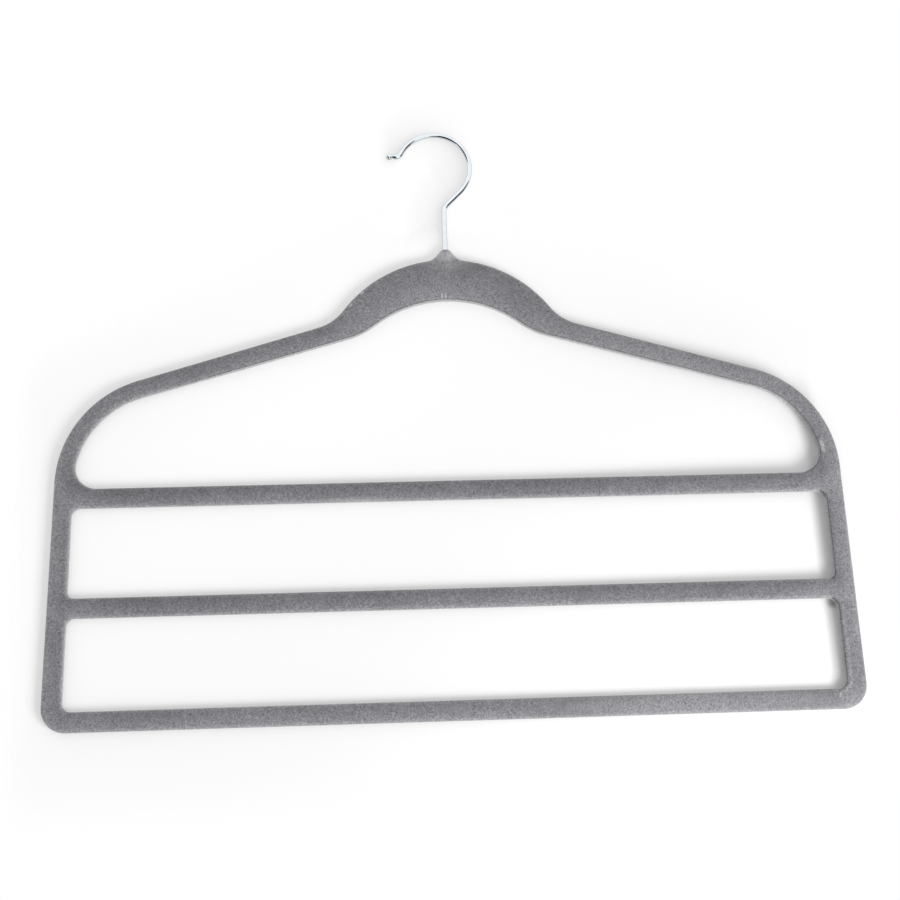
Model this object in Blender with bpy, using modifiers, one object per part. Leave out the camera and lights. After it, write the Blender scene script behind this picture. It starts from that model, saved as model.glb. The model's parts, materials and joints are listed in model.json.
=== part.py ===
"""Three-bar trouser hanger with a swivel hook, modelled upright as it hangs from a rail.

Metres, +Z up, bars along X, front face towards -Y, hook open towards -X. The swivel axis is the
line X = 0, Y = 0. The origin lies on it, on the inside of the hook, where a rail carries the level
hanger. Every height of the moulded frame is worked out downwards from there.
"""

import math

import bmesh
import bpy
from mathutils import Vector

MM = 0.001

# Hook wire
WIRE_DIAMETER = 2.8 * MM
HOOK_INSIDE_DIAMETER = 40.3 * MM
HOOK_OFFSET = 5.4 * MM
HOOK_START_DEG = -45
HOOK_END_DEG = 154
SHANK_BEND_RADIUS = 8 * MM
SHANK_LENGTH = 23.2 * MM
TIP_BEND_RADIUS = 2.8 * MM
TIP_LENGTH = 3.2 * MM
TIP_BEAD_DIAMETER = 3.6 * MM
TIP_GROOVE_DEPTH = 0.3 * MM
TAIL_LENGTH = 17 * MM
TAIL_CHAMFER = 0.5 * MM
RING_GROOVE_DEPTH = 0.55 * MM

# Retaining ring in the groove of the shank
RING_OUTSIDE_DIAMETER = 4.5 * MM
RING_THICKNESS = 0.8 * MM
RING_DEPTH = 6.6 * MM
RING_SLIT_DEG = 50

# Moulded frame with its flock coat: the neck
NUB_HEIGHT = 6.5 * MM
NUB_FLANK = 1.2 * MM
NUB_SIDE_DEG = 40
NUB_FOOT_RADIUS = 7 * MM
BOSS_WALL = 0.75 * MM
BOSS_STRAIGHT = 2.5 * MM
BOSS_TAPER = 12 * MM
BOSS_END_DIAMETER = 4.6 * MM
CROWN_RADIUS = 75.3 * MM
CROWN_START_DEG = 8.6
CROWN_END_DEG = 52.8
NECK_BLEND_RADIUS = 29 * MM
NECK_DEPTH = 24.85 * MM
ARCH_RADIUS = 69 * MM
ARCH_END_DEG = 36
ARCH_FOOT_RADIUS = 45 * MM

# Moulded frame: arms, rails and bars
ARM_DROP = 18.7 * MM
ARM_DEPTH = 12.2 * MM
ARM_SLOPE_DEG = 16.1
ARM_TAPER_DEG = 0.5
SHOULDER_WIDTH = 442.2 * MM
SHOULDER_RADIUS = 62 * MM
SHOULDER_WALL = 11.5 * MM
SHOULDER_INSIDE_LEAN_DEG = 16
SHOULDER_CORNER_REACH = 2.9 * MM
SHOULDER_TO_TOP_BAR = 3.8 * MM
RAIL_WIDTH = 10.1 * MM
RAIL_OUTSIDE_LEAN_DEG = 1.36
RAIL_INSIDE_LEAN_DEG = 0.9
BASE_CORNER_RADIUS = 13.5 * MM
BAR_PITCH = 60.85 * MM
BAR_HEIGHT = 11.1 * MM
SHOULDER_FILLET_RADIUS = 12.4 * MM
UPPER_FILLET_RADIUS = 5 * MM
LOWER_FILLET_RADIUS = 3.5 * MM
BASE_FILLET_RADIUS = 5 * MM
FRAME_THICKNESS = 5 * MM
FRAME_EDGE_RADIUS = 1 * MM

# Fits and fineness of the round forms
CLEARANCE = 0.3 * MM
OVERRUN = 2 * MM
CHORD_ERROR = 0.04 * MM
WELD_DISTANCE = 0.001 * MM
WIRE_BEVEL_STEPS = 4
EDGE_BEVEL_STEPS = 2
TURNED_STEPS = 24
BEAD_STEPS = 8

# Heights and radii that follow from the sizes above
WIRE_RADIUS = WIRE_DIAMETER / 2
HOOK_RADIUS = HOOK_INSIDE_DIAMETER / 2 + WIRE_RADIUS
HOOK_CENTRE_X = -HOOK_OFFSET
HOOK_CENTRE_Z = -math.sqrt((HOOK_INSIDE_DIAMETER / 2) ** 2 - HOOK_OFFSET**2)
RING_GROOVE_RADIUS = WIRE_RADIUS - RING_GROOVE_DEPTH
BORE_RADIUS = WIRE_RADIUS + CLEARANCE
CHAMBER_RADIUS = RING_OUTSIDE_DIAMETER / 2 + CLEARANCE
BOSS_RADIUS = CHAMBER_RADIUS + BOSS_WALL
NUB_RADIUS = BOSS_RADIUS + NUB_FLANK

FLOCKED_PLASTIC = ("flocked_plastic", (0.235, 0.233, 0.245), 0.95, 0.0)
CHROMED_STEEL = ("chromed_steel", (0.86, 0.88, 0.90), 0.08, 1.0)
SPRING_STEEL = ("spring_steel", (0.42, 0.43, 0.45), 0.32, 1.0)


def arc_steps(radius, angle):
    """Straight steps that keep an arc's chords within the chord error."""
    if radius <= CHORD_ERROR:
        return 1
    widest = 2 * math.acos(1 - CHORD_ERROR / radius)
    return max(2, math.ceil(abs(angle) / widest))


def arc_points(centre, radius, start, end):
    """Points on an arc, both ends included. Angles are in radians from +X towards +Z."""
    steps = arc_steps(radius, end - start)
    angles = [start + (end - start) * i / steps for i in range(steps + 1)]
    return [centre + radius * Vector((math.cos(a), math.sin(a))) for a in angles]


def crossing(point, direction, other_point, other_direction):
    """Point where two lines of the XZ plane cross."""
    cross = direction.x * other_direction.y - direction.y * other_direction.x
    gap = other_point - point
    along = (gap.x * other_direction.y - gap.y * other_direction.x) / cross
    return point + along * direction


def falling(degrees):
    """Unit direction towards +X that falls at this slope."""
    return Vector((math.cos(math.radians(degrees)), -math.sin(math.radians(degrees))))


def tangent_corner(centre, radius, start_deg, end_deg):
    """Corner that an arc rounds between two points, given as degrees either side of straight up."""
    middle = math.radians((start_deg + end_deg) / 2)
    reach = radius / math.cos(math.radians((end_deg - start_deg) / 2))
    return centre + reach * Vector((math.sin(middle), math.cos(middle)))


def rounded_loop(corners):
    """Closed outline through corners of (point, radius), each rounded by an arc.

    Where two arcs would meet on one edge, both shrink to the room that the edge has.
    """
    count = len(corners)
    places = [point for point, _ in corners]
    turns = []
    reaches = []
    for i, (point, radius) in enumerate(corners):
        to_last = (places[i - 1] - point).normalized()
        to_next = (places[(i + 1) % count] - point).normalized()
        half_angle = to_last.angle(to_next) / 2
        turns.append((to_last, to_next, half_angle))
        reaches.append(radius / math.tan(half_angle))
    rooms = []
    for i in range(count):
        length = (places[(i + 1) % count] - places[i]).length
        rooms.append(min(1, length / (reaches[i] + reaches[(i + 1) % count])))
    outline = []
    for i, (point, _) in enumerate(corners):
        to_last, to_next, half_angle = turns[i]
        reach = reaches[i] * min(rooms[i - 1], rooms[i])
        radius = reach * math.tan(half_angle)
        centre = point + (to_last + to_next).normalized() * radius / math.sin(half_angle)
        first = point + reach * to_last - centre
        last = point + reach * to_next - centre
        start = math.atan2(first.y, first.x)
        sweep = math.remainder(math.atan2(last.y, last.x) - start, math.tau)
        for arc_point in arc_points(centre, radius, start, start + sweep):
            if not outline or (arc_point - outline[-1]).length > CHORD_ERROR:
                outline.append(arc_point)
    if (outline[0] - outline[-1]).length <= CHORD_ERROR:
        outline.pop()
    return outline


def mirrored(corners):
    """Corners of a right half, top to bottom, with those of the left half behind them."""
    left = [(Vector((-point.x, point.y)), radius) for point, radius in reversed(corners)]
    if corners[0][0].x == 0:
        left.pop()
    return corners + left


def material(finish):
    """Principled material from a finish of name, colour, roughness and metallic value."""
    name, colour, roughness, metallic = finish
    made = bpy.data.materials.new(name)
    made.use_nodes = True
    shader = made.node_tree.nodes["Principled BSDF"]
    shader.inputs["Base Color"].default_value = (*colour, 1)
    shader.inputs["Roughness"].default_value = roughness
    shader.inputs["Metallic"].default_value = metallic
    made.diffuse_color = (*colour, 1)
    return made


def curve_data(name, splines, dimensions):
    """Curve of POLY splines, each a list of points and whether the spline closes."""
    curve = bpy.data.curves.new(name, "CURVE")
    curve.dimensions = dimensions
    for points, closed in splines:
        spline = curve.splines.new("POLY")
        spline.points.add(len(points) - 1)
        for target, (place, radius) in zip(spline.points, points):
            target.co = (*place, 1)
            target.radius = radius
        spline.use_cyclic_u = closed
    return curve


def plate_curve(name, outlines, thickness, edge_radius=0):
    """Flat plate from outlines in the XZ plane, the first one outside and the others holes in it."""
    splines = []
    for i, outline in enumerate(outlines):
        ordered = outline if i == 0 else list(reversed(outline))
        splines.append(([((p.x, p.y, 0), 1) for p in ordered], True))
    curve = curve_data(name, splines, "2D")
    curve.fill_mode = "BOTH"
    curve.extrude = thickness / 2 - edge_radius
    curve.bevel_depth = edge_radius
    curve.bevel_resolution = EDGE_BEVEL_STEPS
    curve.offset = -edge_radius
    return curve


def mesh_from_curve(source, collection):
    """Swap a curve object for a welded mesh object of the same name and place."""
    bpy.context.view_layer.update()
    graph = bpy.context.evaluated_depsgraph_get()
    mesh = bpy.data.meshes.new_from_object(source.evaluated_get(graph))
    welded = bmesh.new()
    welded.from_mesh(mesh)
    bmesh.ops.remove_doubles(welded, verts=welded.verts, dist=WELD_DISTANCE)
    welded.to_mesh(mesh)
    welded.free()
    name = source.name
    place = source.matrix_world.copy()
    bpy.data.objects.remove(source)
    made = bpy.data.objects.new(name, mesh)
    mesh.name = name
    made.matrix_world = place
    collection.objects.link(made)
    return made


def turned(name, profile, collection):
    """Solid turned about Z from a profile of (radius, height), running down the outside."""
    mesh = bpy.data.meshes.new(name)
    edges = [(i, i + 1) for i in range(len(profile) - 1)]
    mesh.from_pydata([(radius, 0, height) for radius, height in profile], edges, [])
    made = bpy.data.objects.new(name, mesh)
    collection.objects.link(made)
    screw = made.modifiers.new("turn", "SCREW")
    screw.axis = "Z"
    screw.steps = TURNED_STEPS
    screw.render_steps = TURNED_STEPS
    screw.use_merge_vertices = True
    screw.merge_threshold = WELD_DISTANCE
    return made


def join_or_cut(target, tool, operation):
    """Boolean of a hidden tool on a part."""
    tool.hide_render = True
    tool.display_type = "WIRE"
    boolean = target.modifiers.new(tool.name, "BOOLEAN")
    boolean.operation = operation
    boolean.solver = "EXACT"
    boolean.object = tool


def shade_round(part, angle_deg):
    """Smooth shading with sharp edges where the surface turns by more than the angle."""
    part.data.shade_smooth()
    part.data.set_sharp_from_angle(angle=math.radians(angle_deg))


def shank_bend_height():
    """Height at which the shank starts to bend, so that its slant meets the hook's arc."""
    start = math.radians(HOOK_START_DEG)
    lean = start + math.pi / 2
    meeting = Vector((HOOK_CENTRE_X, HOOK_CENTRE_Z))
    meeting += HOOK_RADIUS * Vector((math.cos(start), math.sin(start)))
    bend_end_x = SHANK_BEND_RADIUS * (1 - math.sin(lean))
    slant = (meeting.x - bend_end_x) * math.tan(lean)
    return meeting.y - slant - SHANK_BEND_RADIUS * math.cos(lean)


NUB_TOP_Z = shank_bend_height() - SHANK_LENGTH
CROWN_Z = NUB_TOP_Z - NUB_HEIGHT
RING_Z = NUB_TOP_Z - RING_DEPTH


def shoulder_corner():
    """Corner that the top of the right arm and the outer side of the right rail would make."""
    x = SHOULDER_WIDTH / 2
    return Vector((x, CROWN_Z - ARM_DROP - x * math.tan(math.radians(ARM_SLOPE_DEG))))


def shoulder_foot_height():
    """Height at which the shoulder's outer curve runs out into the rail."""
    lean = math.radians(RAIL_OUTSIDE_LEAN_DEG)
    turn = math.pi / 2 - lean - math.radians(ARM_SLOPE_DEG)
    reach = SHOULDER_RADIUS * math.tan(turn / 2)
    return shoulder_corner().y - reach * math.cos(lean)


TOP_BAR_Z = shoulder_foot_height() - SHOULDER_TO_TOP_BAR - BAR_HEIGHT / 2
BASE_Z = TOP_BAR_Z - 2 * BAR_PITCH - BAR_HEIGHT / 2


def hook_path():
    """Centre line of the wire from its lower end to the tip, as points and radii."""
    bend_z = shank_bend_height()
    groove_half = RING_THICKNESS / 2 + CLEARANCE
    tail_z = NUB_TOP_Z - TAIL_LENGTH
    path = [
        (Vector((0, tail_z)), WIRE_RADIUS - TAIL_CHAMFER),
        (Vector((0, tail_z + TAIL_CHAMFER)), WIRE_RADIUS),
        (Vector((0, RING_Z - groove_half - WELD_DISTANCE)), WIRE_RADIUS),
        (Vector((0, RING_Z - groove_half)), RING_GROOVE_RADIUS),
        (Vector((0, RING_Z + groove_half)), RING_GROOVE_RADIUS),
        (Vector((0, RING_Z + groove_half + WELD_DISTANCE)), WIRE_RADIUS),
    ]
    start = math.radians(HOOK_START_DEG)
    end = math.radians(HOOK_END_DEG)
    bend_centre = Vector((SHANK_BEND_RADIUS, bend_z))
    bend = arc_points(bend_centre, SHANK_BEND_RADIUS, math.pi, math.pi / 2 - start)
    loop = arc_points(Vector((HOOK_CENTRE_X, HOOK_CENTRE_Z)), HOOK_RADIUS, start, end)
    away = Vector((math.cos(end), math.sin(end)))
    tip_centre = loop[-1] + TIP_BEND_RADIUS * away
    tip_bend = arc_points(tip_centre, TIP_BEND_RADIUS, end - math.pi, -math.pi / 2)
    path += [(point, WIRE_RADIUS) for point in bend + loop + tip_bend[1:]]
    return path + tip_bead(tip_bend[-1])


def tip_bead(start):
    """Straight end of the wire: a shallow groove and then a bead, as points and radii."""
    bead_radius = TIP_BEAD_DIAMETER / 2
    groove_x = start.x - TIP_LENGTH
    centre_x = groove_x - bead_radius
    stem = WIRE_RADIUS - TIP_GROOVE_DEPTH
    points = [
        (Vector((groove_x + 2 * TIP_GROOVE_DEPTH, start.y)), WIRE_RADIUS),
        (Vector((groove_x + TIP_GROOVE_DEPTH, start.y)), stem),
    ]
    first = math.asin(stem / bead_radius)
    for i in range(BEAD_STEPS + 1):
        angle = first + (math.pi - first) * i / BEAD_STEPS
        place = Vector((centre_x + bead_radius * math.cos(angle), start.y))
        points.append((place, max(bead_radius * math.sin(angle), TAIL_CHAMFER)))
    return points[:-1] + [(Vector((centre_x - bead_radius, start.y)), TAIL_CHAMFER)]


def swivel_hook(collection, axis):
    """Hook of one round wire, with its tail in the neck of the frame."""
    points = [((p.x, 0, p.y), radius / WIRE_RADIUS) for p, radius in hook_path()]
    curve = curve_data("swivel_hook", [(points, False)], "3D")
    curve.bevel_depth = WIRE_RADIUS
    curve.bevel_resolution = WIRE_BEVEL_STEPS
    curve.use_fill_caps = True
    hook = bpy.data.objects.new("swivel_hook", curve)
    collection.objects.link(hook)
    hook.data.materials.append(material(CHROMED_STEEL))
    hook.parent = axis
    hook.matrix_parent_inverse = axis.matrix_world.inverted()
    return hook


def retaining_ring(collection, axis):
    """Split ring that sits in the groove of the shank and holds the hook in the neck."""
    gap = math.radians(RING_SLIT_DEG) / 2
    inner_radius = RING_GROOVE_RADIUS + CLEARANCE
    centre = Vector((0, 0))
    outside = arc_points(centre, RING_OUTSIDE_DIAMETER / 2, gap, math.tau - gap)
    inside = arc_points(centre, inner_radius, math.tau - gap, gap)
    curve = plate_curve("retaining_ring", [outside + inside], RING_THICKNESS)
    ring = bpy.data.objects.new("retaining_ring", curve)
    ring.location = (0, 0, RING_Z)
    collection.objects.link(ring)
    ring.data.materials.append(material(SPRING_STEEL))
    ring.parent = axis
    ring.matrix_parent_inverse = axis.matrix_world.inverted()
    return ring


def rail_outside():
    """Line of the right rail's outer side, as a point and a direction."""
    return shoulder_corner(), falling(90 - RAIL_OUTSIDE_LEAN_DEG)


def rail_inside():
    """Line of the right rail's inner side, from the rail's width at the top of the top bar."""
    outside = at_height(rail_outside(), TOP_BAR_Z + BAR_HEIGHT / 2)
    return outside - Vector((RAIL_WIDTH, 0)), falling(90 - RAIL_INSIDE_LEAN_DEG)


def at_height(line, height):
    """Point of a line at a height."""
    point, along = line
    return crossing(point, along, Vector((0, height)), Vector((1, 0)))


def outer_outline():
    """Outside of the frame: nub, crown, arms, shoulders, rails and base."""
    crown_centre = Vector((0, CROWN_Z - CROWN_RADIUS))
    start = math.radians(CROWN_START_DEG)
    crown_start = crown_centre + CROWN_RADIUS * Vector((math.sin(start), math.cos(start)))
    end = math.radians(CROWN_END_DEG)
    crown_end = crown_centre + CROWN_RADIUS * Vector((math.sin(end), math.cos(end)))
    fall = 90 - NUB_SIDE_DEG
    nub = tangent_corner(Vector((0, NUB_TOP_Z - NUB_RADIUS)), NUB_RADIUS, -fall, fall)
    nub_foot = crossing(nub, falling(fall), crown_start, falling(CROWN_START_DEG))
    crown = tangent_corner(crown_centre, CROWN_RADIUS, CROWN_START_DEG, CROWN_END_DEG)
    shoulder = shoulder_corner()
    blend = crossing(crown_end, falling(CROWN_END_DEG), shoulder, falling(ARM_SLOPE_DEG))
    half = [
        (nub, NUB_RADIUS),
        (nub_foot, NUB_FOOT_RADIUS),
        (crown, CROWN_RADIUS),
        (blend, NECK_BLEND_RADIUS),
        (shoulder, SHOULDER_RADIUS),
        (at_height(rail_outside(), BASE_Z), BASE_CORNER_RADIUS),
    ]
    return rounded_loop(mirrored(half))


def shoulder_opening():
    """Hole under the arms: the arch of the neck, the undersides of the arms and the top bar."""
    arch_centre = Vector((0, CROWN_Z - NECK_DEPTH - ARCH_RADIUS))
    arch = tangent_corner(arch_centre, ARCH_RADIUS, -ARCH_END_DEG, ARCH_END_DEG)
    underside = Vector((0, CROWN_Z - ARM_DROP - ARM_DEPTH))
    arm = falling(ARM_SLOPE_DEG - ARM_TAPER_DEG)
    foot = crossing(arch, falling(ARCH_END_DEG), underside, arm)
    corner = at_height(rail_inside(), TOP_BAR_Z + BAR_HEIGHT / 2)
    corner += Vector((SHOULDER_CORNER_REACH, 0))
    shoulder = crossing(underside, arm, corner, falling(90 - SHOULDER_INSIDE_LEAN_DEG))
    half = [
        (arch, ARCH_RADIUS),
        (foot, ARCH_FOOT_RADIUS),
        (shoulder, SHOULDER_RADIUS - SHOULDER_WALL),
        (corner, SHOULDER_FILLET_RADIUS),
    ]
    return rounded_loop(mirrored(half))


def window(upper_bar_z, upper_radius, lower_radius):
    """Hole between a bar and the next one below it."""
    top = upper_bar_z - BAR_HEIGHT / 2
    bottom = upper_bar_z - BAR_PITCH + BAR_HEIGHT / 2
    half = [
        (at_height(rail_inside(), top), upper_radius),
        (at_height(rail_inside(), bottom), lower_radius),
    ]
    return rounded_loop(mirrored(half))


def boss_profile():
    """Round boss about the shank: a dome, a straight stretch and a taper into the plate."""
    dome_centre = Vector((0, NUB_TOP_Z - BOSS_RADIUS))
    dome = arc_points(dome_centre, BOSS_RADIUS, math.pi / 2, 0)
    straight_z = CROWN_Z - BOSS_STRAIGHT
    end_z = straight_z - BOSS_TAPER
    profile = [(p.x, p.y) for p in dome]
    profile += [(BOSS_RADIUS, straight_z), (BOSS_END_DIAMETER / 2, end_z), (0, end_z)]
    return profile


def socket_profile():
    """Blind bore for the shank, with a wider chamber for the retaining ring."""
    chamber_half = RING_THICKNESS / 2 + CLEARANCE
    end_z = NUB_TOP_Z - TAIL_LENGTH - CLEARANCE
    return [
        (0, NUB_TOP_Z + OVERRUN),
        (BORE_RADIUS, NUB_TOP_Z + OVERRUN),
        (BORE_RADIUS, RING_Z + chamber_half),
        (CHAMBER_RADIUS, RING_Z + chamber_half),
        (CHAMBER_RADIUS, RING_Z - chamber_half),
        (BORE_RADIUS, RING_Z - chamber_half),
        (BORE_RADIUS, end_z),
        (0, end_z),
    ]


def hanger_frame(collection, cutters):
    """One-piece moulding of neck, arms, rails and three bars, with its flock coat."""
    windows = [
        window(TOP_BAR_Z, UPPER_FILLET_RADIUS, LOWER_FILLET_RADIUS),
        window(TOP_BAR_Z - BAR_PITCH, UPPER_FILLET_RADIUS, BASE_FILLET_RADIUS),
    ]
    outlines = [outer_outline(), shoulder_opening(), *windows]
    curve = plate_curve("hanger_frame", outlines, FRAME_THICKNESS, FRAME_EDGE_RADIUS)
    drawn = bpy.data.objects.new("hanger_frame", curve)
    drawn.rotation_euler = (math.pi / 2, 0, 0)
    collection.objects.link(drawn)
    frame = mesh_from_curve(drawn, collection)
    join_or_cut(frame, turned("neck_boss", boss_profile(), cutters), "UNION")
    join_or_cut(frame, turned("neck_socket", socket_profile(), cutters), "DIFFERENCE")
    frame.data.materials.append(material(FLOCKED_PLASTIC))
    shade_round(frame, 40)
    return frame


def main():
    """Clear the scene and build the hanger."""
    for old in list(bpy.data.objects):
        bpy.data.objects.remove(old)
    parts = bpy.data.collections.new("trouser_hanger")
    cutters = bpy.data.collections.new("cutters")
    for collection in (parts, cutters):
        bpy.context.scene.collection.children.link(collection)
    axis = bpy.data.objects.new("hook_swivel_axis", None)
    axis.location = (0, 0, NUB_TOP_Z)
    parts.objects.link(axis)
    bpy.context.view_layer.update()
    hanger_frame(parts, cutters)
    swivel_hook(parts, axis)
    retaining_ring(parts, axis)


main()
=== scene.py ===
"""Looks of a three-bar trouser hanger: a grey flocked frame with a bright wire hook that swivels.

Metres, +Z up, bars along X, front face towards -Y, hook open towards -X. The origin is on the swivel
axis, at the inside of the hook wire. Outlines are worked out in the XZ plane, as (x, z) points.
"""

import json
import logging
from collections.abc import Callable
from dataclasses import dataclass
from enum import Enum
from functools import reduce
from math import asin, atan2, ceil, cos, pi, radians, remainder, sin, sqrt, tan, tau

import bmesh
import bpy
import numpy as np
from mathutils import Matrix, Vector, kdtree, noise
from mathutils.geometry import delaunay_2d_cdt


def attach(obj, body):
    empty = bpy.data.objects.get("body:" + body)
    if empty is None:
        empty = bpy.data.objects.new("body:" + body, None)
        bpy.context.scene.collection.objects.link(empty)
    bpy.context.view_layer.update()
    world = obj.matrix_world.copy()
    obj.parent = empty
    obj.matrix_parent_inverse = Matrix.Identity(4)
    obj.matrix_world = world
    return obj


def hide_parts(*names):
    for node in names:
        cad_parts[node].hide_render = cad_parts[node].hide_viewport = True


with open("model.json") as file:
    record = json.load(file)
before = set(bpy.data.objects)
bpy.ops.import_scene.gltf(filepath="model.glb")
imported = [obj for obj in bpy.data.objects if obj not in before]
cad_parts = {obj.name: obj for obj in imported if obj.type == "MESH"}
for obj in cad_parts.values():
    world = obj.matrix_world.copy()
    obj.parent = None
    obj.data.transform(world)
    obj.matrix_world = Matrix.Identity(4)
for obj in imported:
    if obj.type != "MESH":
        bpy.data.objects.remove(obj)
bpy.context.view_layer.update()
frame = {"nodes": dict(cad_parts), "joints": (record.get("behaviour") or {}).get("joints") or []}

MM = 0.001
MERGE_DISTANCE = 0.001 * MM
SHARP_ANGLE = radians(50)
LOG = logging.getLogger("trouser_hanger")

Array = np.ndarray
Material = bpy.types.Material
Object = bpy.types.Object
Socket = bpy.types.NodeSocket
Corner = tuple[Vector, float]
Line = tuple[Vector, Vector]
Span = tuple[float, float]
Colour = Place = tuple[float, float, float]

NOISE_WIDE: Span = (0.25, 0.75)
NOISE_MIDDLE: Span = (0.3, 0.7)
WHITE = (1, 1, 1, 1)
TRIANGULATE_INSIDE = 1
TRIANGULATE_EPSILON = 1e-9


class Body(Enum):
    """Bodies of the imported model."""

    FRAME = "frame"
    HOOK = "hook"


class Slot(Enum):
    """Material slots of the record."""

    FLOCK = "flocked_plastic"
    CHROME = "chromed_steel"
    SPRING = "spring_steel"


def arc_points(centre: Vector, radius: float, start: float, end: float, step: float) -> list[Vector]:
    """Points on an arc, both ends included.

    Args:
        centre: Centre of the arc.
        radius: Radius of the arc.
        start: First angle, in radians from +X towards +Z.
        end: Last angle.
        step: Longest distance between two points.

    Returns:
        The points, in order.
    """
    count = max(2, ceil(abs(end - start) * radius / step))
    angles = [start + (end - start) * i / count for i in range(count + 1)]
    return [centre + radius * Vector((cos(a), sin(a))) for a in angles]


def crossing(line: Line, other: Line) -> Vector:
    """Point where two lines, each a point and a direction, cross.

    Args:
        line: One line.
        other: The other.

    Returns:
        The point where they cross.
    """
    (point, along), (other_point, other_along) = line, other
    cross = along.x * other_along.y - along.y * other_along.x
    gap = other_point - point
    return point + (gap.x * other_along.y - gap.y * other_along.x) / cross * along


def falling(degrees: float) -> Vector:
    """Unit direction towards +X that falls at this slope."""
    return Vector((cos(radians(degrees)), -sin(radians(degrees))))


def at_height(line: Line, height: float) -> Vector:
    """Point of a line at a height."""
    return crossing(line, (Vector((0, height)), Vector((1, 0))))


def on_arc(centre: Vector, radius: float, degrees: float) -> Vector:
    """Point of an arc, in degrees from straight up towards +X."""
    angle = radians(degrees)
    return centre + radius * Vector((sin(angle), cos(angle)))


def tangent_corner(centre: Vector, radius: float, start_deg: float, end_deg: float) -> Vector:
    """Corner that an arc rounds between two of its points, in degrees from straight up."""
    reach = radius / cos(radians(end_deg - start_deg) / 2)
    return on_arc(centre, reach, (start_deg + end_deg) / 2)


def rounded_loop(corners: list[Corner], step: float) -> list[Vector]:
    """Closed outline through corners, each rounded by an arc.

    Args:
        corners: Points and the radii that round them.
        step: Longest distance between two points of an arc.

    Returns:
        The outline's points. Where two arcs would meet on one edge, both shrink to its room.
    """
    count = len(corners)
    places = [point for point, _ in corners]
    turns = []
    for i, (point, radius) in enumerate(corners):
        to_last = (places[i - 1] - point).normalized()
        to_next = (places[(i + 1) % count] - point).normalized()
        half_angle = to_last.angle(to_next) / 2
        turns.append((to_last, to_next, half_angle, radius / tan(half_angle)))
    rooms = []
    for i in range(count):
        length = (places[(i + 1) % count] - places[i]).length
        rooms.append(min(1, length / (turns[i][3] + turns[(i + 1) % count][3])))
    outline: list[Vector] = []
    for i, point in enumerate(places):
        to_last, to_next, half_angle, reach = turns[i]
        reach *= min(rooms[i - 1], rooms[i])
        radius = reach * tan(half_angle)
        centre = point + (to_last + to_next).normalized() * radius / sin(half_angle)
        first = point + reach * to_last - centre
        last = point + reach * to_next - centre
        start = atan2(first.y, first.x)
        sweep = remainder(atan2(last.y, last.x) - start, tau)
        outline += arc_points(centre, radius, start, start + sweep, step)
    return outline


def mirrored(corners: list[Corner]) -> list[Corner]:
    """Corners of a right half, top to bottom, with those of the left half behind them.

    Args:
        corners: Corners of the right half.

    Returns:
        Corners of the whole loop.
    """
    left = [(Vector((-point.x, point.y)), radius) for point, radius in reversed(corners)]
    if corners[0][0].x == 0:
        left.pop()
    return corners + left


def evenly(outline: list[Vector], step: float, clockwise: bool) -> Array:
    """Closed outline resampled at even steps.

    Args:
        outline: Points of the closed outline.
        step: Wanted distance between two points.
        clockwise: Whether the points run clockwise, seen with +X right and +Z up.

    Returns:
        Array of (x, z) rows.
    """
    points = np.array([tuple(p) for p in outline])
    after = np.roll(points, -1, axis=0)
    area = (points[:, 0] * after[:, 1] - after[:, 0] * points[:, 1]).sum() / 2
    if (area < 0) != clockwise:
        points = points[::-1]
    closed = np.vstack([points, points[:1]])
    lengths = np.hypot(*np.diff(closed, axis=0).T)
    along = np.concatenate([[0], np.cumsum(lengths)])
    count = round(along[-1] / step)
    wanted = np.arange(count) * along[-1] / count
    return np.stack([np.interp(wanted, along, closed[:, k]) for k in (0, 1)], axis=1)


def smooth_step(values: Array, low: float, high: float) -> Array:
    """Smooth rise from 0 at low to 1 at high."""
    share = np.clip((values - low) / (high - low), 0, 1)
    return share * share * (3 - 2 * share)


def bell(values: Array, middle: float, half: float) -> Array:
    """Bell curve that is 1 at its middle."""
    return np.exp(-(((values - middle) / half) ** 2))


def placed(name: str, data: bpy.types.ID) -> Object:
    """New object in the scene with this data.

    Args:
        name: Name of the object.
        data: Its mesh, curve, lamp or camera.

    Returns:
        The object.
    """
    made = bpy.data.objects.new(name, data)
    bpy.context.scene.collection.objects.link(made)
    return made


def mesh_object(name: str, points: list, faces: list, edges: list | None = None) -> Object:
    """New object in the scene with a mesh of these points, faces and loose edges.

    Args:
        name: Name of the object.
        points: Its points.
        faces: Its faces.
        edges: Its loose edges.

    Returns:
        The object.
    """
    mesh = bpy.data.meshes.new(name)
    mesh.from_pydata(points, edges or [], faces)
    return placed(name, mesh)


def baked(made: Object) -> bpy.types.Mesh:
    """New mesh of an object with its modifiers or its bevel applied.

    Args:
        made: The object.

    Returns:
        The new mesh.
    """
    bpy.context.view_layer.update()
    graph = bpy.context.evaluated_depsgraph_get()
    return bpy.data.meshes.new_from_object(made.evaluated_get(graph))


def apply_modifiers(made: Object) -> None:
    """Bake an object's modifiers into its mesh.

    Args:
        made: The object.
    """
    mesh = baked(made)
    made.modifiers.clear()
    old = made.data
    made.data = mesh
    bpy.data.meshes.remove(old)
    mesh.name = made.name


def reshape(mesh: bpy.types.Mesh, change: Callable[[bmesh.types.BMesh], object]) -> None:
    """Change a mesh by way of an edit mesh.

    Args:
        mesh: The mesh.
        change: What is done to the edit mesh.
    """
    shape = bmesh.new()
    shape.from_mesh(mesh)
    change(shape)
    shape.to_mesh(mesh)
    shape.free()


def orient(made: Object) -> None:
    """Turn every face of a closed mesh outwards."""
    reshape(made.data, lambda shape: bmesh.ops.recalc_face_normals(shape, faces=shape.faces))


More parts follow.
